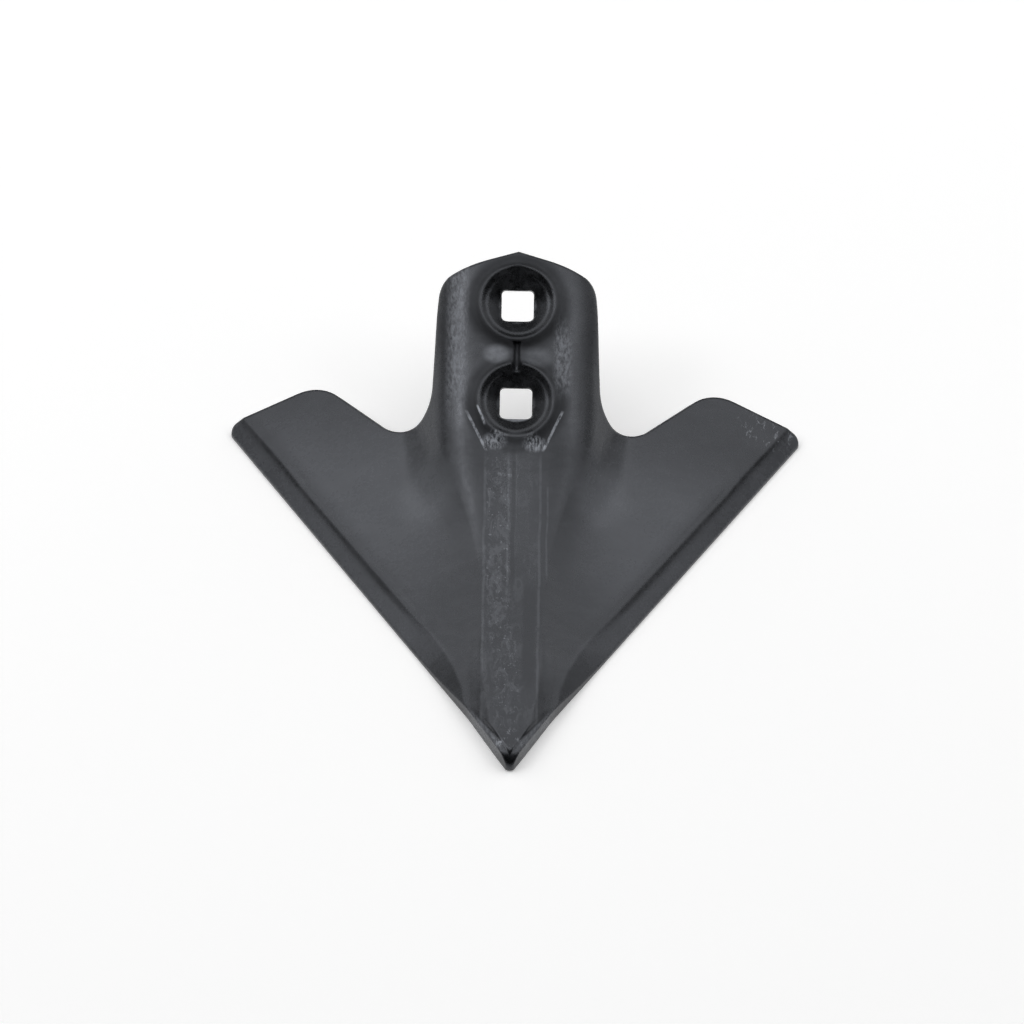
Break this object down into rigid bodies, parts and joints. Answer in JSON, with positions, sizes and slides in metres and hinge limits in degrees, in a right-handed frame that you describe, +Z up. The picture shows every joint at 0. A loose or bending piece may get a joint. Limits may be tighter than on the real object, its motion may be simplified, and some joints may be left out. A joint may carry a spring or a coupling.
{
  "type": "cultivator sweep",
  "caption": "Pressed steel cultivator sweep with two swept wings, sharpened edges, a raised crown and a channel stem with square bolt holes in countersunk seats.",
  "frame": {"origin": "on the plane of the cutting edges, under the middle of the bounding box", "axes": "+X across the sweep, -Y to the nose and +Y to the rear, +Z up, away from the cutting edges"},
  "size_m": [0.251, 0.2306, 0.0805],
  "materials": {
    "black_paint": "satin black paint"
  },
  "bodies": {
    "root": {"cultivator_sweep": "black_paint"}
  },
  "joints": []
}
